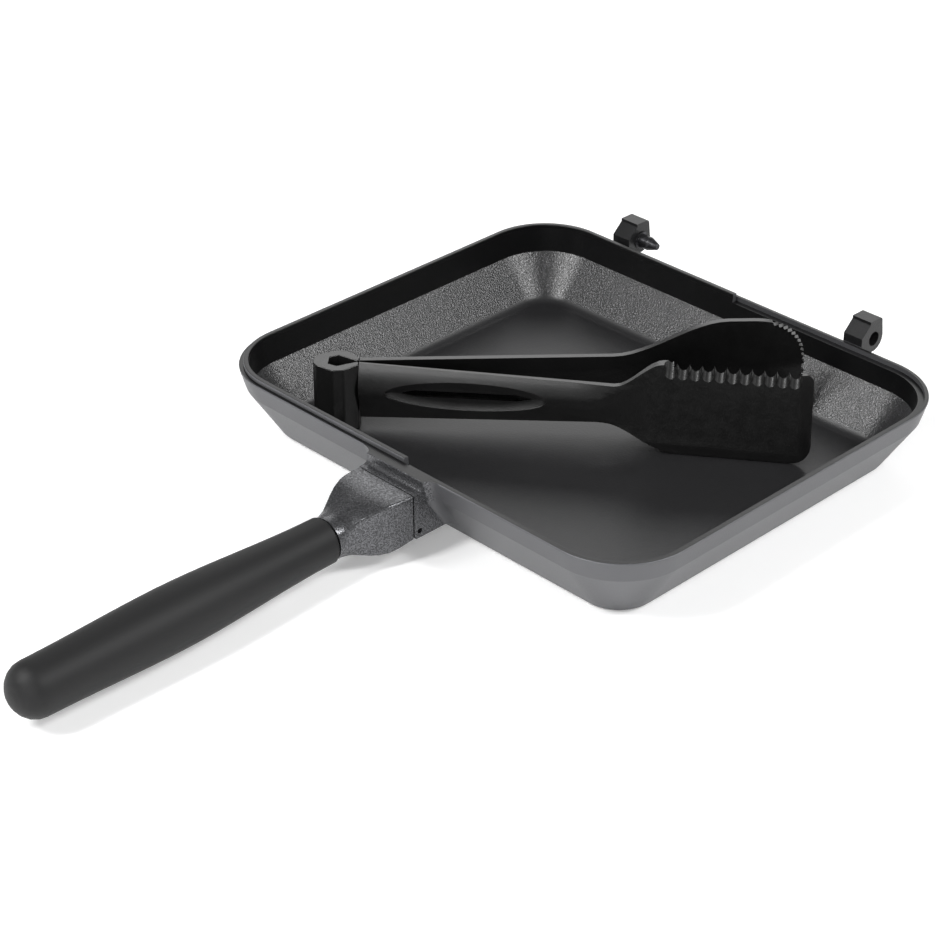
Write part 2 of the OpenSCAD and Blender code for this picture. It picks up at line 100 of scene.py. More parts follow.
class Paint:
    """A material and the nodes that vary its colour, roughness and relief."""

    def __init__(self, name, colour, roughness, metallic=0.0, **constants):
        self.material = bpy.data.materials.new(name)
        self.material.use_nodes = True
        self.nodes = self.material.node_tree.nodes
        self.links = self.material.node_tree.links
        self.shader = self.nodes["Principled BSDF"]
        self.shader.inputs["Base Color"].default_value = (*colour, 1)
        self.shader.inputs["Roughness"].default_value = roughness
        self.shader.inputs["Metallic"].default_value = metallic
        for socket, value in constants.items():
            self.shader.inputs[socket.replace("_", " ")].default_value = value
        self.material.diffuse_color = (*colour, 1)

    def node(self, kind, settings=None, inputs=None, output=0):
        """Adds a node, sets it up, feeds its sockets and gives the wire of one output."""
        added = self.nodes.new(kind)
        for key, value in (settings or {}).items():
            setattr(added, key, value)
        for key, value in (inputs or {}).items():
            self.feed(added.inputs[key], value)
        return Wire(self, added.outputs[output])

    def feed(self, socket, value):
        if isinstance(value, Wire):
            self.links.new(value.socket, socket)
        else:
            socket.default_value = value

    def noise(self, size, detail=2.0, roughness=0.5):
        """Smooth noise from 0 to 1 whose grains are about the given size in metres."""
        place = self.node("ShaderNodeTexCoord", output="Object")
        return self.node(
            "ShaderNodeTexNoise",
            None,
            {"Vector": place, "Scale": 1 / size, "Detail": detail, "Roughness": roughness},
        )

    def blend(self, factor, first, second):
        """Colour that goes from the first to the second with the factor."""
        return self.node(
            "ShaderNodeMix",
            {"data_type": "RGBA"},
            {0: factor, 6: (*first, 1), 7: (*second, 1)},
            2,
        )

    def shades(self, factor, tint, low, high):
        """Varies the base colour from one shade of the tint to another with the factor."""
        colour = self.blend(factor, shaded(tint, low), shaded(tint, high))
        self.feed(self.shader.inputs["Base Color"], colour)

    def roughness(self, wire):
        self.feed(self.shader.inputs["Roughness"], wire)

    def relief(self, height, depth):
        """Bumps of the given depth in metres."""
        bump = self.node(
            "ShaderNodeBump", None, {"Height": height, "Distance": depth, "Strength": 1.0}, "Normal"
        )
        self.feed(self.shader.inputs["Normal"], bump)


def shaded(colour, share):
    """The colour made lighter or darker by a factor."""
    return tuple(channel * share for channel in colour)


# ---------------------------------------------------------------- finishes


def cast_outside(settings):
    """Satin dark grey coat on cast metal, with a fine pebble."""
    tint = settings.outside_colour
    paint = Paint("cast_outside", tint, roughness=0.42, metallic=0.55)
    grain = paint.noise(0.6 * MM, detail=3.0, roughness=0.6)
    cloud = paint.noise(40 * MM, detail=2.0)
    paint.shades(cloud * 0.6 + grain * 0.4, tint, 0.88, 1.14)
    paint.roughness(0.36 + grain * 0.12 + cloud * 0.05)
    paint.relief(grain, 0.05 * MM)
    return paint.material


def cast_pebbled(settings):
    """The same coat over the coarser skin of the bracket and the boss, with painted glints on its
    grains.
    """
    tint = shaded(settings.outside_colour, 0.85)
    paint = Paint("cast_pebbled", tint, roughness=0.3, metallic=0.75)
    grain = paint.noise(0.6 * MM, detail=1.5, roughness=0.6)
    painted_pebble_glints = grain.step(0.35, 0.65)
    # Painted glints and shade: the pebble's grains are made lighter in the base colour and the spaces
    # between them darker.
    paint.shades(painted_pebble_glints, tint, 0.55, 1.45)
    paint.roughness(0.34 - painted_pebble_glints * 0.08)
    paint.relief(grain, 0.07 * MM)
    return paint.material


def cast_black(settings):
    """The nearly black coat of the hinge lugs."""
    tint = shaded(settings.outside_colour, 0.08)
    paint = Paint("cast_black", tint, roughness=0.3, IOR=1.36)
    grain = paint.noise(0.7 * MM, detail=3.0, roughness=0.6)
    paint.shades(grain, tint, 0.7, 1.4)
    paint.roughness(0.26 + grain * 0.12)
    paint.relief(grain, 0.06 * MM)
    return paint.material


def coating_smooth(settings):
    """Black non-stick on the upright band, smooth and nearly black."""
    tint = shaded(settings.inside_colour, 0.7)
    paint = Paint("coating_smooth", tint, roughness=0.32, IOR=1.4)
    cloud = paint.noise(30 * MM, detail=2.0)
    paint.shades(cloud, tint, 0.7, 1.4)
    paint.roughness(0.28 + cloud * 0.06)
    paint.relief(paint.noise(0.9 * MM, detail=3.0, roughness=0.6), 0.04 * MM)
    return paint.material


def coating_floor(settings):
    """Black non-stick on the floor and its fillet, satin with a faint orange peel."""
    tint = shaded(settings.inside_colour, 2.4)
    paint = Paint("coating_floor", tint, roughness=0.38, IOR=1.54)
    peel = paint.noise(0.9 * MM, detail=3.0, roughness=0.6)
    cloud = paint.noise(55 * MM, detail=2.0)
    paint.shades(cloud * 0.5 + peel * 0.5, tint, 0.7, 1.4)
    paint.roughness(0.35 + cloud * 0.04 + peel * 0.06)
    paint.relief(peel, 0.05 * MM)
    return paint.material


def coating_speckled(settings):
    """Black non-stick with the fine pebble of the sloping walls; its bright flecks are painted glints
    in the base colour.
    """
    tint = settings.inside_colour
    paint = Paint("coating_speckled", tint, roughness=0.28, IOR=1.6)
    grain = paint.noise(0.62 * MM, detail=1.5, roughness=0.6)
    painted_fleck_glints = grain.step(0.48, 0.7)
    # Painted glints: the flecks are made many times lighter in the base colour to stand for sparkle.
    paint.shades(painted_fleck_glints, tint, 0.6, 14)
    paint.roughness(0.34 - painted_fleck_glints * 0.12)
    paint.relief(grain, 0.21 * MM)
    return paint.material


def bare_rim(settings):
    """Machined top of the rim, with a thin dark coat worn unevenly."""
    tint = shaded(settings.outside_colour, 0.2)
    paint = Paint("bare_rim", tint, roughness=0.45, metallic=0.3, IOR=1.4)
    wear = paint.noise(6 * MM, detail=4.0, roughness=0.6)
    paint.shades(wear, tint, 0.8, 1.15)
    paint.roughness(0.36 + wear * 0.12)
    return paint.material


def grip_matte(settings):
    """Matte black moulded grip."""
    tint = settings.grip_colour
    paint = Paint("grip_matte", tint, roughness=0.55, IOR=1.4)
    grain = paint.noise(0.35 * MM, detail=2.0)
    cloud = paint.noise(30 * MM, detail=2.0)
    paint.shades(cloud, tint, 0.92, 1.1)
    paint.roughness(0.53 + grain * 0.1)
    paint.relief(grain, 0.02 * MM)
    return paint.material


def tongs_nylon(settings):
    """Satin black nylon."""
    tint = settings.tongs_colour
    paint = Paint("tongs_nylon", tint, roughness=0.3, IOR=1.62)
    grain = paint.noise(0.6 * MM, detail=3.0, roughness=0.6)
    cloud = paint.noise(9 * MM, detail=4.0, roughness=0.6)
    paint.shades(cloud, tint, 0.5, 1.6)
    paint.roughness(0.26 + cloud * 0.1)
    paint.relief(grain + cloud * 2, 0.03 * MM)
    return paint.material


def tongs_textured(settings):
    """The blotchy moulded face of the flat blade, a little lighter than its smooth bevels."""
    tint = shaded(settings.tongs_colour, 1.3)
    paint = Paint("tongs_textured", tint, roughness=0.4)
    blotch = paint.noise(5 * MM, detail=5.0, roughness=0.7)
    paint.shades(blotch.step(0.3, 0.7), tint, 0.5, 1.6)
    paint.roughness(0.46 - blotch * 0.16)
    paint.relief(blotch, 0.3 * MM)
    return paint.material


def black_steel():
    """Blackened steel of the hinge pin and the cross pin."""
    tint = (0.02, 0.02, 0.022)
    paint = Paint("black_steel", tint, roughness=0.32, metallic=0.6)
    wear = paint.noise(2.5 * MM, detail=3.0)
    paint.shades(wear.step(0.45, 0.75), tint, 1, 3)
    paint.roughness(0.26 + wear * 0.16)
    return paint.material


def zinc_steel():
    """Zinc plated screw."""
    tint = (0.5, 0.5, 0.52)
    paint = Paint("zinc_steel", tint, roughness=0.3, metallic=1.0)
    paint.roughness(0.24 + paint.noise(1.5 * MM) * 0.16)
    return paint.material


# ---------------------------------------------------------------- modelling tools


def only(piece):
    """Makes the piece the one selected and active object, in object mode."""
    if bpy.context.object and bpy.context.object.mode != "OBJECT":
        bpy.ops.object.mode_set(mode="OBJECT")
    bpy.ops.object.select_all(action="DESELECT")
    piece.select_set(True)
    bpy.context.view_layer.objects.active = piece


def deselect(mesh):
    """Clears the selection of a mesh, in object mode."""
    for item in (*mesh.vertices, *mesh.edges, *mesh.polygons):
        item.select = False


def copied(node, name):
    """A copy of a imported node's mesh with its points merged, to be finished as a piece."""
    piece = bpy.data.objects.new(name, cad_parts[node].data.copy())
    bpy.context.scene.collection.objects.link(piece)
    piece.data.materials.clear()
    only(piece)
    bpy.ops.mesh.customdata_custom_splitnormals_clear()
    bpy.ops.object.mode_set(mode="EDIT")
    bpy.ops.mesh.select_all(action="SELECT")
    bpy.ops.mesh.remove_doubles(threshold=SAME_POINT)
    bpy.ops.mesh.dissolve_limited(angle_limit=FLAT_ANGLE)
    bpy.ops.object.mode_set(mode="OBJECT")
    return piece


def bevel_selected(width, segments):
    """Rounds the selected edges, in edit mode, and goes back to object mode."""
    bpy.ops.mesh.bevel(
        offset_type="OFFSET", offset=width, segments=segments, profile=0.5, affect="EDGES",
        clamp_overlap=True,
    )
    bpy.ops.object.mode_set(mode="OBJECT")


def bevel_sharp(piece, width, sharper_than=30, where=None):
    """Rounds the sharp edges of a piece, or those whose two ends pass the test."""
    only(piece)
    bpy.ops.object.mode_set(mode="EDIT")
    bpy.ops.mesh.select_mode(type="EDGE")
    bpy.ops.mesh.select_all(action="DESELECT")
    bpy.ops.mesh.edges_select_sharp(sharpness=math.radians(sharper_than))
    if where:
        bpy.ops.object.mode_set(mode="OBJECT")
        points = piece.data.vertices
        for edge in piece.data.edges:
            if edge.select:
                a, b = (points[i].co for i in edge.vertices)
                edge.select = where(a) and where(b)
        bpy.ops.object.mode_set(mode="EDIT")
    bevel_selected(width, 2)


def round_between(piece, width, segments, first, second):
    """Rounds the edges that part a face passing the first test from one passing the second."""
    only(piece)
    mesh = piece.data
    sides = {}
    for face in mesh.polygons:
        for key in face.edge_keys:
            sides.setdefault(key, []).append(face)
    chosen = set()
    for key, faces in sides.items():
        if len(faces) == 2:
            a, b = faces
            if (first(a) and second(b)) or (first(b) and second(a)):
                chosen.add(key)
    deselect(mesh)
    for edge in mesh.edges:
        edge.select = edge.key in chosen
    bpy.ops.object.mode_set(mode="EDIT")
    bpy.ops.mesh.select_mode(type="EDGE")
    bevel_selected(width, segments)


def smooth(piece, angle=38):
    """Smooth shading that large flat faces keep flat."""
    only(piece)
    bpy.ops.object.shade_smooth_by_angle(angle=math.radians(angle))
    bpy.ops.object.modifier_add(type="WEIGHTED_NORMAL")
    piece.modifiers[-1].keep_sharp = True
    piece.modifiers[-1].weight = 90
    bpy.ops.object.modifier_apply(modifier=piece.modifiers[-1].name)


def dress(piece, body, slot, node, *materials):
    """Gives a finished piece its materials and its body, and hides the node it stands for. The slot
    is not used.
    """
    for material in materials:
        piece.data.materials.append(material)
    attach(piece, body)
    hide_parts(node)


def rim_inset(point):
    """How far a point lies inside the outline of the rim, seen from above."""
    qx = abs(point.x) - RIM_HALF.x + RIM_CORNER
    qy = abs(point.y) - RIM_HALF.y + RIM_CORNER
    outside = math.hypot(max(qx, 0), max(qy, 0))
    return RIM_CORNER - outside - min(max(qx, qy), 0)


# ---------------------------------------------------------------- settings


class FlipPanSettings(bpy.types.PropertyGroup):
    """Colours and light that a user may change."""

    outside_colour: FloatVectorProperty(
        name="Outside", description="Coat on the outside of the pan", default=(0.112, 0.113, 0.119),
        subtype="COLOR", min=0, max=1,
    )
    inside_colour: FloatVectorProperty(
        name="Inside", description="Non-stick coating", default=(0.0045, 0.0045, 0.0048),
        subtype="COLOR", min=0, max=1,
    )
    grip_colour: FloatVectorProperty(
        name="Grip", description="Moulded grip", default=(0.0065, 0.0065, 0.0068),
        subtype="COLOR", min=0, max=1,
    )
    tongs_colour: FloatVectorProperty(
        name="Tongs", description="Nylon of the tongs", default=(0.005, 0.005, 0.005),
        subtype="COLOR", min=0, max=1,
    )
    floor_colour: FloatVectorProperty(
        name="Floor", description="Paper that the pan stands on", default=(0.9, 0.9, 0.9),
        subtype="COLOR", min=0, max=1,
    )
    edge_radius: FloatProperty(
        name="Edge radius", description="Rounding of the moulded and cast edges", default=0.4 * MM,
        min=0.1 * MM, max=0.6 * MM, unit="LENGTH",
    )
    light: FloatProperty(
        name="Light", description="Strength of the soft light from above", default=0.15, min=0, max=2,
    )


# ---------------------------------------------------------------- pieces


class FLIPPAN_OT_casting(bpy.types.Operator):
    """Finishes the pan's casting: coat outside, non-stick inside, bare rim"""

    bl_idname = "flippan.casting"
    bl_label = "Pan casting"

    OUTSIDE, BAND, SLOPE, RIM, BOSS, LUG, FLOOR = range(7)  # order of the finishes
    BOSS_ROUND = 0.9 * MM  # radius along the upper edges of the boss
    BOSS_START = 2.4 * MM  # distance outside the rim where those edges begin
    BOSS_FILLET = 4 * MM  # width of the fillet on each side of the boss
    RIM_STEP = 2.2 * MM  # a little more than the depth of the step in the rim
    SHELL = 1.5 * MM  # a little less than the thickness of the sloping wall
    FLOOR_TILT = 0.68  # upward part of a face's normal where the slope's finish gives way

    def execute(self, context):
        settings = context.scene.flip_pan
        piece = copied("pan_body", "pan_casting")
        round_between(
            piece, self.BOSS_ROUND, 4, self.is_boss_side,
            lambda f: f.center.y < -RIM_HALF.y - self.BOSS_START
            and f.normal.z > 0.2 and abs(f.normal.x) < 0.1,
        )
        bevel_sharp(piece, settings.edge_radius, 40, self.on_fitting)
        smooth(piece, 32)
        dress(
            piece, "pan", "coated_pan", "pan_body",
            cast_outside(settings), coating_smooth(settings), coating_speckled(settings),
            bare_rim(settings), cast_pebbled(settings), cast_black(settings), coating_floor(settings),
        )
        for face in piece.data.polygons:
            face.material_index = self.finish_of(face)
        return {"FINISHED"}

    @staticmethod
    def is_boss_side(face):
        return abs(abs(face.center.x) - BOSS_HALF) < 0.01 * MM and abs(face.normal.x) > 0.99

    @staticmethod
    def on_fitting(point):
        """Whether a point is on the boss or on one of the lugs, clear of the rim."""
        return point.y < -RIM_HALF.y - 2.6 * MM or point.y > RIM_HALF.y + 1.2 * MM

    def finish_of(self, face):
        """Which of the seven finishes a face takes."""
        inset = rim_inset(face.center)
        z = face.center.z
        if face.center.y > RIM_HALF.y + 1 * MM:
            return self.LUG
        near_boss = abs(face.center.x) < BOSS_HALF + self.BOSS_FILLET and face.center.y < -RIM_HALF.y
        if inset < -0.6 * MM or near_boss:
            return self.BOSS
        if inset < RIM_WALL - 0.2 * MM:
            flat_top = face.normal.z > 0.9 and z > RIM_Z - self.RIM_STEP and inset > -0.1 * MM
            return self.RIM if flat_top else self.OUTSIDE
        if z < FLOOR_FOOT[1] - 1 * MM or face.normal.z < -0.05:
            return self.OUTSIDE
        if z > BAND_FOOT[1]:
            return self.BAND
        slope = (FLOOR_FOOT[1] - BAND_FOOT[1]) / (FLOOR_FOOT[0] - BAND_FOOT[0])
        wall_z = BAND_FOOT[1] + slope * (inset - BAND_FOOT[0])
        if z < wall_z - self.SHELL:
            return self.OUTSIDE
        return self.SLOPE if face.normal.z < self.FLOOR_TILT else self.FLOOR


class FLIPPAN_OT_hinge_pin(bpy.types.Operator):
    """Finishes the stepped hinge pin, and paints the cross pin and the screw"""

    bl_idname = "flippan.hinge_pin"
    bl_label = "Pins"

    EDGE = 0.25 * MM

    def execute(self, context):
        steel = black_steel()
        pin = copied("hinge_pin", "stepped_pin")
        bevel_sharp(pin, self.EDGE)
        smooth(pin)
        dress(pin, "pan", "black_steel", "hinge_pin", steel)
        for node, finish in (("cross_pin", steel), ("grip_screw", zinc_steel())):
            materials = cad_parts[node].data.materials
            materials.clear()
            materials.append(finish)
        return {"FINISHED"}


class FLIPPAN_OT_handle(bpy.types.Operator):
    """Makes the cast bracket, from the joint line to the round neck, and finishes the grip"""

    bl_idname = "flippan.handle"
    bl_label = "Handle"

    # Distance behind the joint line, half width, underside, top and roundness of each section.
    SECTIONS = (
        (0.0, 14.5, 7.3, 26.0, 0.0),
        (0.5, 14.5, 7.3, 26.0, 0.0),
        (3.5, 14.5, 7.0, 26.0, 0.0),
        (7.0, 14.2, 6.4, 26.0, 0.0),
        (10.5, 13.4, 5.9, 25.8, 0.0),
        (14.0, 12.3, 5.8, 25.3, 0.05),
        (17.5, 11.0, 6.0, 24.5, 0.16),
        (20.5, 9.9, 6.3, 23.7, 0.36),
        (23.5, 9.0, 6.4, 23.0, 0.68),
        (26.5, 8.5, 6.3, 22.7, 0.94),
        (29.1, 8.2, 6.3, 22.7, 1.0),
    )
    JOINT = -101.6 * MM  # Y of the joint line between the boss and the bracket
    CORNER = 1.0 * MM  # radius of the first section's corners
    LONG_EDGE = 5 * MM
    TANG_INSET = 2.6 * MM
    TANG_LENGTH = 92 * MM
    GRIP_EDGE = 0.3 * MM

    def execute(self, context):
        settings = context.scene.flip_pan
        bracket = self.make_bracket()
        dress(bracket, "pan", "cast_bracket", "handle_bracket", cast_pebbled(settings))
        grip = copied("handle_grip", "moulded_grip")
        bevel_sharp(grip, self.GRIP_EDGE, 40)
        smooth(grip)
        dress(grip, "pan", "grip_plastic", "handle_grip", grip_matte(settings))
        return {"FINISHED"}

    def make_bracket(self):
        """Extrudes the bracket backwards from section to section, and then its tang."""
        bpy.ops.object.select_all(action="DESELECT")
        _, half, low, high, _ = self.SECTIONS[0]
        middle = Vector((0, self.JOINT, (low + high) / 2 * MM))
        bpy.ops.mesh.primitive_plane_add(size=1, location=middle, rotation=(math.pi / 2, 0, 0))
        bracket = bpy.context.object
        bracket.name = "cast_bracket"
        bracket.scale = (2 * half * MM, (high - low) * MM, 1)
        bpy.ops.object.transform_apply(location=True, rotation=True, scale=True)
        bpy.ops.object.mode_set(mode="EDIT")
        bpy.ops.mesh.select_all(action="SELECT")
        bpy.ops.mesh.bevel(offset=self.CORNER, segments=6, profile=0.5, affect="VERTICES")
        bpy.ops.mesh.select_all(action="SELECT")
        bpy.ops.object.mode_set(mode="OBJECT")
        self.split_long_edges(bracket)
        bpy.ops.object.mode_set(mode="EDIT")
        bpy.ops.mesh.select_all(action="SELECT")
        before = self.SECTIONS[0]
        for section in self.SECTIONS[1:]:
            self.add_section(bracket, before, section)
            before = section
        bpy.ops.mesh.inset(thickness=self.TANG_INSET)
        bpy.ops.mesh.extrude_region_move(
            TRANSFORM_OT_translate={"value": (0, -self.TANG_LENGTH, 0)}
        )
        bpy.ops.mesh.select_all(action="SELECT")
        bpy.ops.mesh.normals_make_consistent(inside=False)
        bpy.ops.object.mode_set(mode="OBJECT")
        smooth(bracket, 32)
        return bracket

    def split_long_edges(self, piece):
        """Cuts the four long sides of the first section into short edges of about 1.5 mm."""
        points = piece.data.vertices
        for edge in piece.data.edges:
            a, b = (points[i].co for i in edge.vertices)
            edge.select = (a - b).length > self.LONG_EDGE
        bpy.ops.object.mode_set(mode="EDIT")
        bpy.ops.mesh.select_mode(type="EDGE")
        bpy.ops.mesh.subdivide(number_cuts=13)
        bpy.ops.object.mode_set(mode="OBJECT")

    def add_section(self, piece, before, section):
        """Extrudes the last section backwards, and gives it its place, roundness and size."""
        distance, half, low, high, roundness = section
        middle = Vector((0, self.JOINT - distance * MM, (low + high) / 2 * MM))
        lift = (low + high - before[2] - before[3]) / 2 * MM
        bpy.ops.mesh.extrude_region_move(
            TRANSFORM_OT_translate={"value": (0, (before[0] - distance) * MM, lift)}
        )
        if roundness > before[4]:
            bpy.ops.transform.tosphere(value=(roundness - before[4]) / (1 - before[4]))
        piece.update_from_editmode()
        ring = [point.co for point in piece.data.vertices if point.select]
        wide = max(point.x for point in ring) - min(point.x for point in ring)
        tall = max(point.z for point in ring) - min(point.z for point in ring)
        bpy.ops.transform.resize(
            value=(2 * half * MM / wide, 1, (high - low) * MM / tall), center_override=middle
        )


class FLIPPAN_OT_tongs(bpy.types.Operator):
    """Finishes the tongs: the spring loop and the two arms"""

    bl_idname = "flippan.tongs"
    bl_label = "Tongs"

    TURN = 41.2  # direction of the tongs, seen from above, in degrees
    SPREAD = 5.5  # angle of each arm from their middle line, in degrees
    ROOT = Vector((-73.5, -61.0, 0)) * MM  # where the arms' lines start, inside the loop
    TOP = 31.3 * MM  # height of the arms' top edges
    SHAFT_LENGTH = 130 * MM  # distance from the root within which a face isn't on the blade
    LOOP_EDGE = 0.5 * MM
    TOP_EDGE = 0.7 * MM

    # The ridge along an arm's outer side: its height at the root in millimetres, and its rise.
    RIDGE_Z = 19.45
    RIDGE_RISE = 0.038

    # Above the ridge the side curves back. Lengths along the arm and heights are in millimetres.
    CROWN_ROWS = (21.4, 23.0, 24.6, 26.2, 27.6, 28.8, 29.8)
    CROWN_CUTS = (22, 38, 52, 67, 82, 93, 97, 101, 105, 109)
    CROWN_FADE = (93, 111)  # lengths between which the curve runs out
    CROWN_TALL = 11.3  # height above the ridge at which the side is back the whole way
    CROWN_BACK = 1.4 * MM
    CROWN_POWER = 2.5
    CROWN_GROUP = "crown"

    # The bevel along the flat blade's lower edge.
    BEVEL_TILT = math.radians(13)
    BEVEL_Z = 8.3 * MM

    # The oval recess of 63 by 12 mm, whose floor is dished by rings that each go deeper.
    RECESS_AREA = 700 * MM * MM  # more than its floor has
    RECESS_CORNERS = 60  # fewer than its floor has
    RECESS_MERGE = 0.25 * MM
    RING_WIDTH = 1.1 * MM
    RING_DEPTHS = (0.4, 0.28, 0.15)

    def execute(self, context):
        settings = context.scene.flip_pan
        nylon = tongs_nylon(settings)
        self.finish_loop(nylon)
        finishes = (nylon, tongs_textured(settings))
        self.finish_arm("tongs_flat_arm", "toothed_arm", "flat_arm", -1, *finishes)
        self.finish_arm("tongs_round_arm", "spoon_arm", "round_arm", 1, *finishes)
        return {"FINISHED"}

    def finish_loop(self, nylon):
        loop = copied("tongs_loop", "spring_loop")
        round_between(
            loop, self.LOOP_EDGE, 3,
            lambda f: abs(f.normal.z) > 0.9,
            lambda f: abs(f.normal.z) < 0.1,
        )
        smooth(loop, 30)
        dress(loop, "loop", "tongs_nylon", "tongs_loop", nylon)

    def finish_arm(self, node, name, body, side, *finishes):
        """Curves the outer side of an arm, rounds its top edge and dishes its recess."""
        arm = copied(node, name)
        along = math.radians(self.TURN + side * self.SPREAD)
        outward = Vector((-math.sin(along), math.cos(along), 0)) * side
        forward = Vector((math.cos(along), math.sin(along), 0))

        def on_shaft(face):
            return (face.center - self.ROOT).dot(forward) < self.SHAFT_LENGTH

        self.crown(arm, forward, outward, on_shaft)
        round_between(
            arm, self.TOP_EDGE, 4,
            lambda f: f.normal.z > 0.8 and f.center.z > self.TOP - 1 * MM,
            lambda f: f.normal.dot(outward) > 0.8 and on_shaft(f),
        )
        if side < 0:
            self.cut_lower_bevel(arm, outward)
        self.scoop(arm, outward)
        smooth(arm, 35)
        dress(arm, body, "tongs_nylon", node, *finishes)
        for face in arm.data.polygons:
            if face.normal.dot(outward) > 0.9999 and not on_shaft(face):
                face.material_index = 1

    def crown(self, arm, forward, outward, on_shaft):
        """Curves the upper outer face of an arm back towards its thin top edge."""
        mesh = arm.data

        def is_side(face):
            return face.normal.dot(outward) > 0.9 and 0.1 < face.normal.z < 0.9 and on_shaft(face)

        planes = [(Vector((0, 0, z * MM)), Vector((0, 0, 1))) for z in self.CROWN_ROWS]
        planes += [(self.ROOT + forward * reach * MM, forward) for reach in self.CROWN_CUTS]
        only(arm)
        for place, normal in planes:
            self.cut_faces(mesh, is_side, place, normal)
        group = arm.vertex_groups.new(name=self.CROWN_GROUP)
        for face in mesh.polygons:
            if is_side(face):
                for i in face.vertices:
                    point = mesh.vertices[i].co
                    reach = (point - self.ROOT).dot(forward) / MM
                    group.add([i], self.crown_share(reach, point.z / MM), "REPLACE")
        # The group goes by its name here, because applying a modifier makes it anew.
        for direction, share in (("X", outward.x), ("Y", outward.y)):
            bpy.ops.object.modifier_add(type="DISPLACE")
            push = arm.modifiers[-1]
            push.vertex_group = self.CROWN_GROUP
            push.direction = direction
            push.mid_level = 0
            push.strength = -share * self.CROWN_BACK
            bpy.ops.object.modifier_apply(modifier=push.name)
        arm.vertex_groups.clear()

    @staticmethod
    def cut_faces(mesh, is_cut, place, normal):
        """Cuts the faces that pass the test along a plane."""
        bpy.ops.object.mode_set(mode="EDIT")
        bpy.ops.mesh.select_mode(type="FACE")
        bpy.ops.mesh.select_all(action="DESELECT")
        bpy.ops.object.mode_set(mode="OBJECT")
        for face in mesh.polygons:
            face.select = is_cut(face)
        bpy.ops.object.mode_set(mode="EDIT")
        bpy.ops.mesh.bisect(plane_co=place, plane_no=normal)
        bpy.ops.object.mode_set(mode="OBJECT")

    def crown_share(self, reach, height):
        """How much of the whole way back a point of the side goes, by its length and height."""
        start, end = self.CROWN_FADE
        rise = max(height - self.RIDGE_Z - self.RIDGE_RISE * reach, 0) / self.CROWN_TALL
        fade = min(max((end - reach) / (end - start), 0), 1)
        return min(rise ** self.CROWN_POWER, 1) * fade * fade * (3 - 2 * fade)

    def cut_lower_bevel(self, arm, outward):
        """Thins the flat blade towards its lower edge, as it is towards its end."""
        only(arm)
        bpy.ops.object.mode_set(mode="EDIT")
        bpy.ops.mesh.select_all(action="SELECT")
        outer = (face for face in arm.data.polygons if face.normal.dot(outward) > 0.9999)
        place = max(outer, key=lambda face: face.area).center.copy()
        place.z = self.BEVEL_Z
        down = Vector((0, 0, -1))
        bpy.ops.mesh.bisect(
            plane_co=place,
            plane_no=outward * math.cos(self.BEVEL_TILT) + down * math.sin(self.BEVEL_TILT),
            use_fill=True, clear_outer=True,
        )
        bpy.ops.object.mode_set(mode="OBJECT")

    def scoop(self, arm, outward):
        """Dishes the floor of the oval recess."""
        only(arm)
        mesh = arm.data

        def is_recess(face):
            """Whether a face is flat, looks outward, and has the many corners of a small oval."""
            many_corners = len(face.vertices) > self.RECESS_CORNERS
            return face.normal.dot(outward) > 0.999 and many_corners and face.area < self.RECESS_AREA

        recess = next(face for face in mesh.polygons if is_recess(face))
        deselect(mesh)
        recess.select = True
        for i in recess.vertices:
            mesh.vertices[i].select = True
        bpy.ops.object.mode_set(mode="EDIT")
        bpy.ops.mesh.select_mode(type="VERT")
        bpy.ops.mesh.remove_doubles(threshold=self.RECESS_MERGE)
        bpy.ops.mesh.select_mode(type="FACE")
        for depth in self.RING_DEPTHS:
            bpy.ops.mesh.inset(
                thickness=self.RING_WIDTH, depth=-depth * MM, use_even_offset=False
            )
        bpy.ops.object.mode_set(mode="OBJECT")


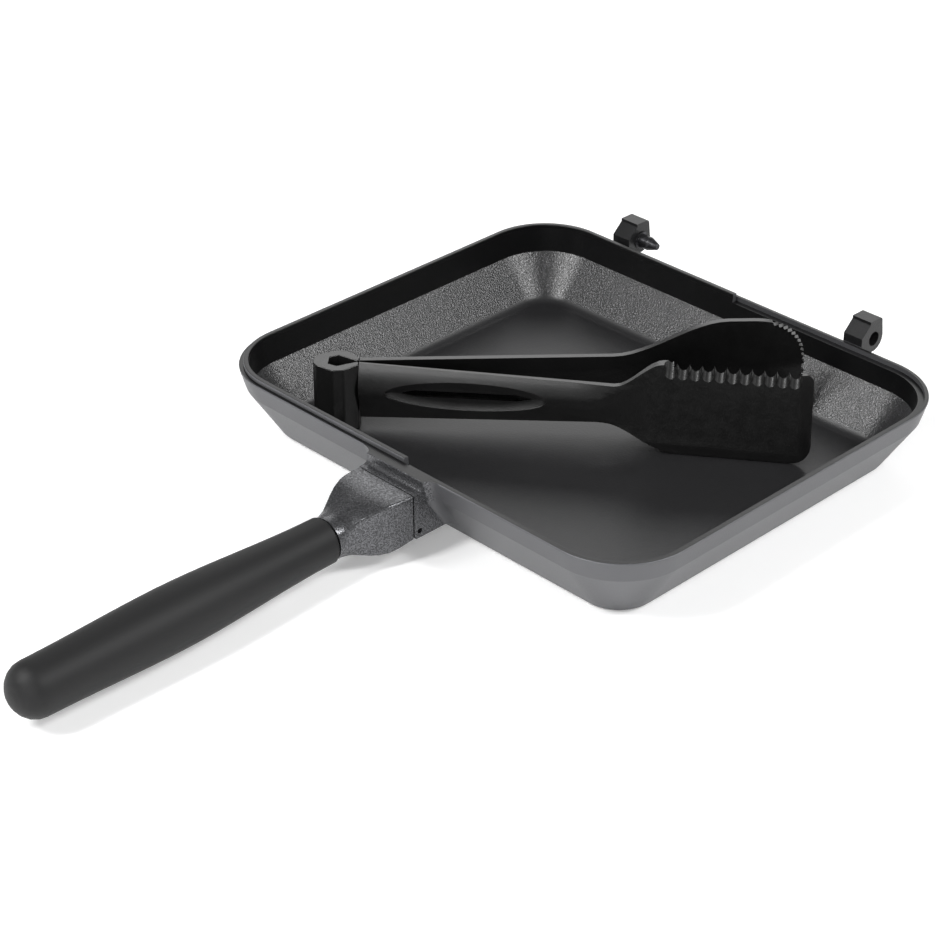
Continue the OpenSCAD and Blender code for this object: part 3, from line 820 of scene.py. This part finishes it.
class FLIPPAN_OT_stage(bpy.types.Operator):
    """Adds the floor, the soft studio light and the camera"""

    bl_idname = "flippan.stage"
    bl_label = "Stage"

    FLOOR_SIZE = 8  # metres
    FLOOR_Z = -0.1 * MM
    FLOOR_GLOW = 0.22  # added to the floor where it is seen, so that it is white there
    HORIZON = (0.13, 0.3)  # sines of the elevations between which the room goes from white to dim

    CAMERA_PLACE = Vector((579.8, -624.5, 505.6)) * MM
    CAMERA_AIM = Vector((-16.4, -44.0, 0)) * MM
    CAMERA_ROLL = math.radians(-0.25)
    CAMERA_LENS = 97.84  # millimetres, on a sensor of the width below
    CAMERA_SENSOR = 36

    # Name, azimuth from +X and elevation in degrees, distance and size in metres, power in watts.
    LAMPS = (
        ("key_left", -104, 49, 1.5, (0.2, 0.5), 12),
        ("key_right", 14, 49, 1.5, (0.2, 0.5), 8),
        ("front", -62, 22, 1.6, (0.7, 0.5), 6),
        ("side_right", 36, 42, 1.6, (0.36, 0.4), 8.5),
        ("side_left", -123, 44, 1.6, (0.36, 0.4), 6.5),
        ("back", 133, 30, 1.6, (1.0, 0.8), 4.8),
    )

    def execute(self, context):
        settings = context.scene.flip_pan
        context.scene.view_settings.view_transform = "Standard"
        self.add_floor(settings)
        self.add_world(context.scene, settings)
        for lamp in self.LAMPS:
            self.add_lamp(*lamp)
        self.add_camera(context.scene)
        return {"FINISHED"}

    def add_floor(self, settings):
        """White paper that glows a little where it is seen, and keeps the shadow."""
        bpy.ops.mesh.primitive_plane_add(size=self.FLOOR_SIZE, location=(0, 0, self.FLOOR_Z))
        floor = bpy.context.object
        floor.name = "floor"
        bpy.ops.object.transform_apply(location=True, rotation=False, scale=True)
        paint = Paint("paper", settings.floor_colour, roughness=0.9)
        shown = paint.node("ShaderNodeLightPath", output="Is Camera Ray")
        for ray in ("Is Glossy Ray", "Is Transmission Ray"):
            shown = shown.math("MAXIMUM", shown, paint.node("ShaderNodeLightPath", output=ray))
        glow = paint.blend(shown, (0, 0, 0), (self.FLOOR_GLOW,) * 3)
        paint.feed(paint.shader.inputs["Emission Color"], glow)
        paint.shader.inputs["Emission Strength"].default_value = 1
        floor.data.materials.append(paint.material)

    def add_world(self, scene, settings):
        """A room that is white near the floor and dim above."""
        world = bpy.data.worlds.new("studio")
        world.use_nodes = True
        scene.world = world
        nodes, links = world.node_tree.nodes, world.node_tree.links
        background = nodes["Background"]
        background.inputs["Color"].default_value = (1, 1, 1, 1)
        direction = nodes.new("ShaderNodeTexCoord")
        parts = nodes.new("ShaderNodeSeparateXYZ")
        links.new(direction.outputs["Generated"], parts.inputs[0])
        strength = nodes.new("ShaderNodeMapRange")
        strength.interpolation_type = "SMOOTHSTEP"
        white_below, dim_above = self.HORIZON
        strength.inputs["From Min"].default_value = white_below
        strength.inputs["From Max"].default_value = dim_above
        strength.inputs["To Min"].default_value = 1
        strength.inputs["To Max"].default_value = settings.light
        links.new(parts.outputs["Z"], strength.inputs["Value"])
        links.new(strength.outputs[0], background.inputs["Strength"])

    @staticmethod
    def add_lamp(name, azimuth, elevation, distance, size, power):
        """A soft box of the given width and height, facing the middle of the pan."""
        turn, rise = math.radians(azimuth), math.radians(elevation)
        place = distance * Vector(
            (math.cos(turn) * math.cos(rise), math.sin(turn) * math.cos(rise), math.sin(rise))
        )
        bpy.ops.object.light_add(type="AREA", location=place)
        lamp = bpy.context.object
        lamp.name = name
        lamp.data.shape = "RECTANGLE"
        lamp.data.size, lamp.data.size_y = size
        lamp.data.energy = power
        lamp.rotation_euler = (-place).to_track_quat("-Z", "Y").to_euler()

    def add_camera(self, scene):
        bpy.ops.object.camera_add(location=self.CAMERA_PLACE)
        camera = bpy.context.object
        camera.data.sensor_width = self.CAMERA_SENSOR
        camera.data.lens = self.CAMERA_LENS
        camera.rotation_mode = "QUATERNION"
        level = (self.CAMERA_AIM - self.CAMERA_PLACE).to_track_quat("-Z", "Y")
        camera.rotation_quaternion = level @ Quaternion((0, 0, 1), self.CAMERA_ROLL)
        scene.camera = camera


class FLIPPAN_PT_panel(bpy.types.Panel):
    """Lists the pieces and their settings"""

    bl_label = "Flip Pan"
    bl_idname = "FLIPPAN_PT_panel"
    bl_space_type = "VIEW_3D"
    bl_region_type = "UI"
    bl_category = "Flip Pan"

    def draw(self, context):
        settings = context.scene.flip_pan
        for name in settings.__annotations__:
            self.layout.prop(settings, name)
        for operator in OPERATORS:
            self.layout.operator(operator.bl_idname)


OPERATORS = (
    FLIPPAN_OT_stage,
    FLIPPAN_OT_casting,
    FLIPPAN_OT_hinge_pin,
    FLIPPAN_OT_handle,
    FLIPPAN_OT_tongs,
)


def register():
    for cls in (FlipPanSettings, *OPERATORS, FLIPPAN_PT_panel):
        bpy.utils.register_class(cls)
    bpy.types.Scene.flip_pan = PointerProperty(type=FlipPanSettings)


def unregister():
    del bpy.types.Scene.flip_pan
    for cls in reversed((FlipPanSettings, *OPERATORS, FLIPPAN_PT_panel)):
        bpy.utils.unregister_class(cls)


def main():
    register()
    bpy.ops.flippan.stage()
    bpy.ops.flippan.casting()
    bpy.ops.flippan.hinge_pin()
    bpy.ops.flippan.handle()
    bpy.ops.flippan.tongs()


if __name__ == "__main__":
    main()
